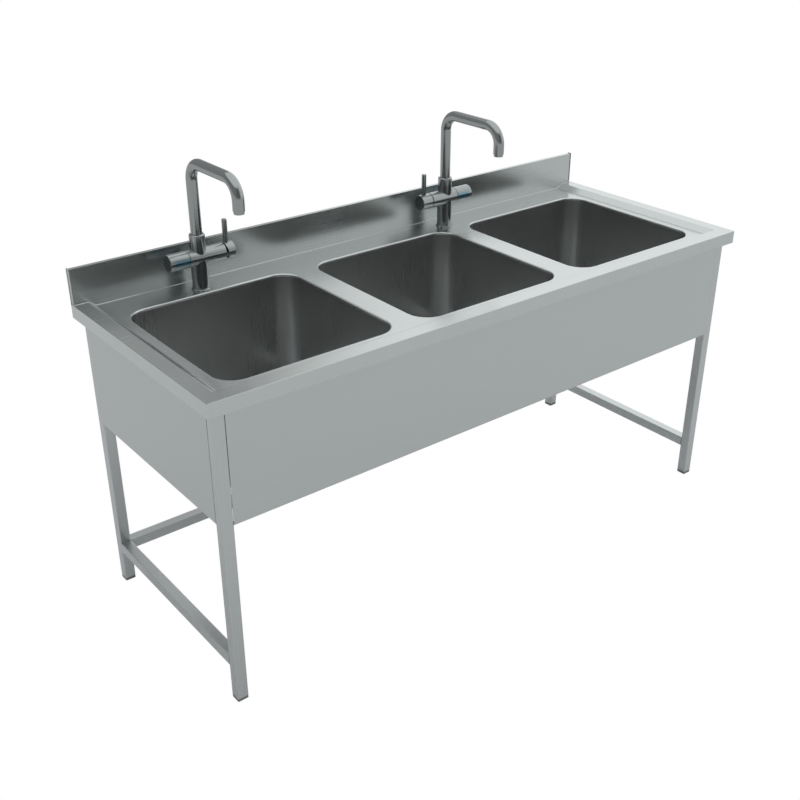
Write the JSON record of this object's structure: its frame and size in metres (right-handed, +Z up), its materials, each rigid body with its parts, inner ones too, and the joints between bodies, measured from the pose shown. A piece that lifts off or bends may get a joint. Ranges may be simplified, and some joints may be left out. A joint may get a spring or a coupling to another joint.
{
  "type": "three compartment sink",
  "caption": "Free-standing stainless steel kitchen sink with deep square bowls in a row, an upstand, a square tube frame and swivel mixer taps.",
  "frame": {"origin": "centre of the footprint, on the floor", "axes": "+X to the right along the bowls as seen by the person washing up, +Y to the wall, +Z up"},
  "size_m": [1.8, 0.696, 1.1933],
  "materials": {
    "steel_deck": "satin, cleaned and lightly worn",
    "steel_bowl": "satin, darker with use",
    "steel_frame": "satin",
    "steel_panel": "fine satin",
    "steel_hidden": "mill",
    "tap_chrome": "dark polished",
    "tap_brass": "machined",
    "dark_plastic": "moulded",
    "waste_steel": "polished",
    "grey_rubber": "moulded",
    "white_plastic": "moulded"
  },
  "bodies": {
    "frame": {"worktop": "steel_deck", "bowl_left": "steel_bowl", "waste_body_left": "waste_steel", "waste_gasket_left": "grey_rubber", "waste_nut_left": "white_plastic", "bowl_centre": "steel_bowl", "waste_body_centre": "waste_steel", "waste_gasket_centre": "grey_rubber", "waste_nut_centre": "white_plastic", "bowl_right": "steel_bowl", "waste_body_right": "waste_steel", "waste_gasket_right": "grey_rubber", "waste_nut_right": "white_plastic", "leg_front_left": "steel_frame", "foot_cap_front_left": "dark_plastic", "leg_front_right": "steel_frame", "foot_cap_front_right": "dark_plastic", "leg_rear_left": "steel_frame", "foot_cap_rear_left": "dark_plastic", "leg_rear_right": "steel_frame", "foot_cap_rear_right": "dark_plastic", "stretcher_left": "steel_frame", "stretcher_right": "steel_frame", "stretcher_rear": "steel_frame", "rear_rail": "steel_hidden", "apron_front": "steel_panel", "side_panel_left": "steel_panel", "side_panel_right": "steel_panel", "deck_stiffener_left": "steel_hidden", "deck_stiffener_right": "steel_hidden", "tap_base_ring_left": "tap_chrome", "tap_body_left": "tap_chrome", "spout_collar_left": "tap_chrome", "valve_headwork_left": "tap_brass", "tap_shank_left": "tap_brass", "clamp_washer_left": "tap_brass", "shank_nut_left": "tap_brass", "tap_base_ring_right": "tap_chrome", "tap_body_right": "tap_chrome", "spout_collar_right": "tap_chrome", "valve_headwork_right": "tap_brass", "tap_shank_right": "tap_brass", "clamp_washer_right": "tap_brass", "shank_nut_right": "tap_brass"},
    "spout_unit_left": {"spout_left": "tap_chrome", "aerator_left": "tap_chrome"},
    "mixer_unit_left": {"mixer_core_left": "tap_brass"},
    "lever_unit_left": {"lever_cap_left": "tap_chrome", "lever_rod_left": "tap_chrome"},
    "knob_unit_left": {"valve_knob_left": "tap_chrome"},
    "spout_unit_right": {"spout_right": "tap_chrome", "aerator_right": "tap_chrome"},
    "mixer_unit_right": {"mixer_core_right": "tap_brass"},
    "lever_unit_right": {"lever_cap_right": "tap_chrome", "lever_rod_right": "tap_chrome"},
    "knob_unit_right": {"valve_knob_right": "tap_chrome"},
    "basket_unit_left": {"strainer_basket_left": "waste_steel"},
    "basket_unit_centre": {"strainer_basket_centre": "waste_steel"},
    "basket_unit_right": {"strainer_basket_right": "waste_steel"}
  },
  "joints": [
    {"name": "spout_swivel_left", "type": "hinge", "parent": "frame", "child": "spout_unit_left", "pos_m": [-0.571, 0.2685, 0.9258], "axis": [0, 0, 1], "range_deg": [-120, 120]},
    {"name": "mixer_turn_left", "type": "hinge", "parent": "frame", "child": "mixer_unit_left", "pos_m": [-0.571, 0.2685, 0.9258], "axis": [1, 0, 0], "range_deg": [-45, 45]},
    {"name": "lever_tilt_left", "type": "hinge", "parent": "mixer_unit_left", "child": "lever_unit_left", "pos_m": [-0.4925, 0.2685, 0.9258], "axis": [0, 1, 0], "range_deg": [0, 25]},
    {"name": "knob_turn_left", "type": "hinge", "parent": "frame", "child": "knob_unit_left", "pos_m": [-0.571, 0.2685, 0.9258], "axis": [1, 0, 0], "range_deg": [0, 90]},
    {"name": "spout_swivel_right", "type": "hinge", "parent": "frame", "child": "spout_unit_right", "pos_m": [0.277, 0.2685, 0.9258], "axis": [0, 0, 1], "range_deg": [-120, 120]},
    {"name": "mixer_turn_right", "type": "hinge", "parent": "frame", "child": "mixer_unit_right", "pos_m": [0.277, 0.2685, 0.9258], "axis": [-1, 0, 0], "range_deg": [-45, 45]},
    {"name": "lever_tilt_right", "type": "hinge", "parent": "mixer_unit_right", "child": "lever_unit_right", "pos_m": [0.2105, 0.2685, 0.9068], "axis": [0, -1, 0], "range_deg": [0, 25]},
    {"name": "knob_turn_right", "type": "hinge", "parent": "frame", "child": "knob_unit_right", "pos_m": [0.277, 0.2685, 0.9258], "axis": [-1, 0, 0], "range_deg": [0, 90]},
    {"name": "basket_lift_left", "type": "slide", "parent": "frame", "child": "basket_unit_left", "axis": [0, 0, 1], "range_m": [0, 0.12]},
    {"name": "basket_lift_centre", "type": "slide", "parent": "frame", "child": "basket_unit_centre", "axis": [0, 0, 1], "range_m": [0, 0.12]},
    {"name": "basket_lift_right", "type": "slide", "parent": "frame", "child": "basket_unit_right", "axis": [0, 0, 1], "range_m": [0, 0.12]}
  ]
}
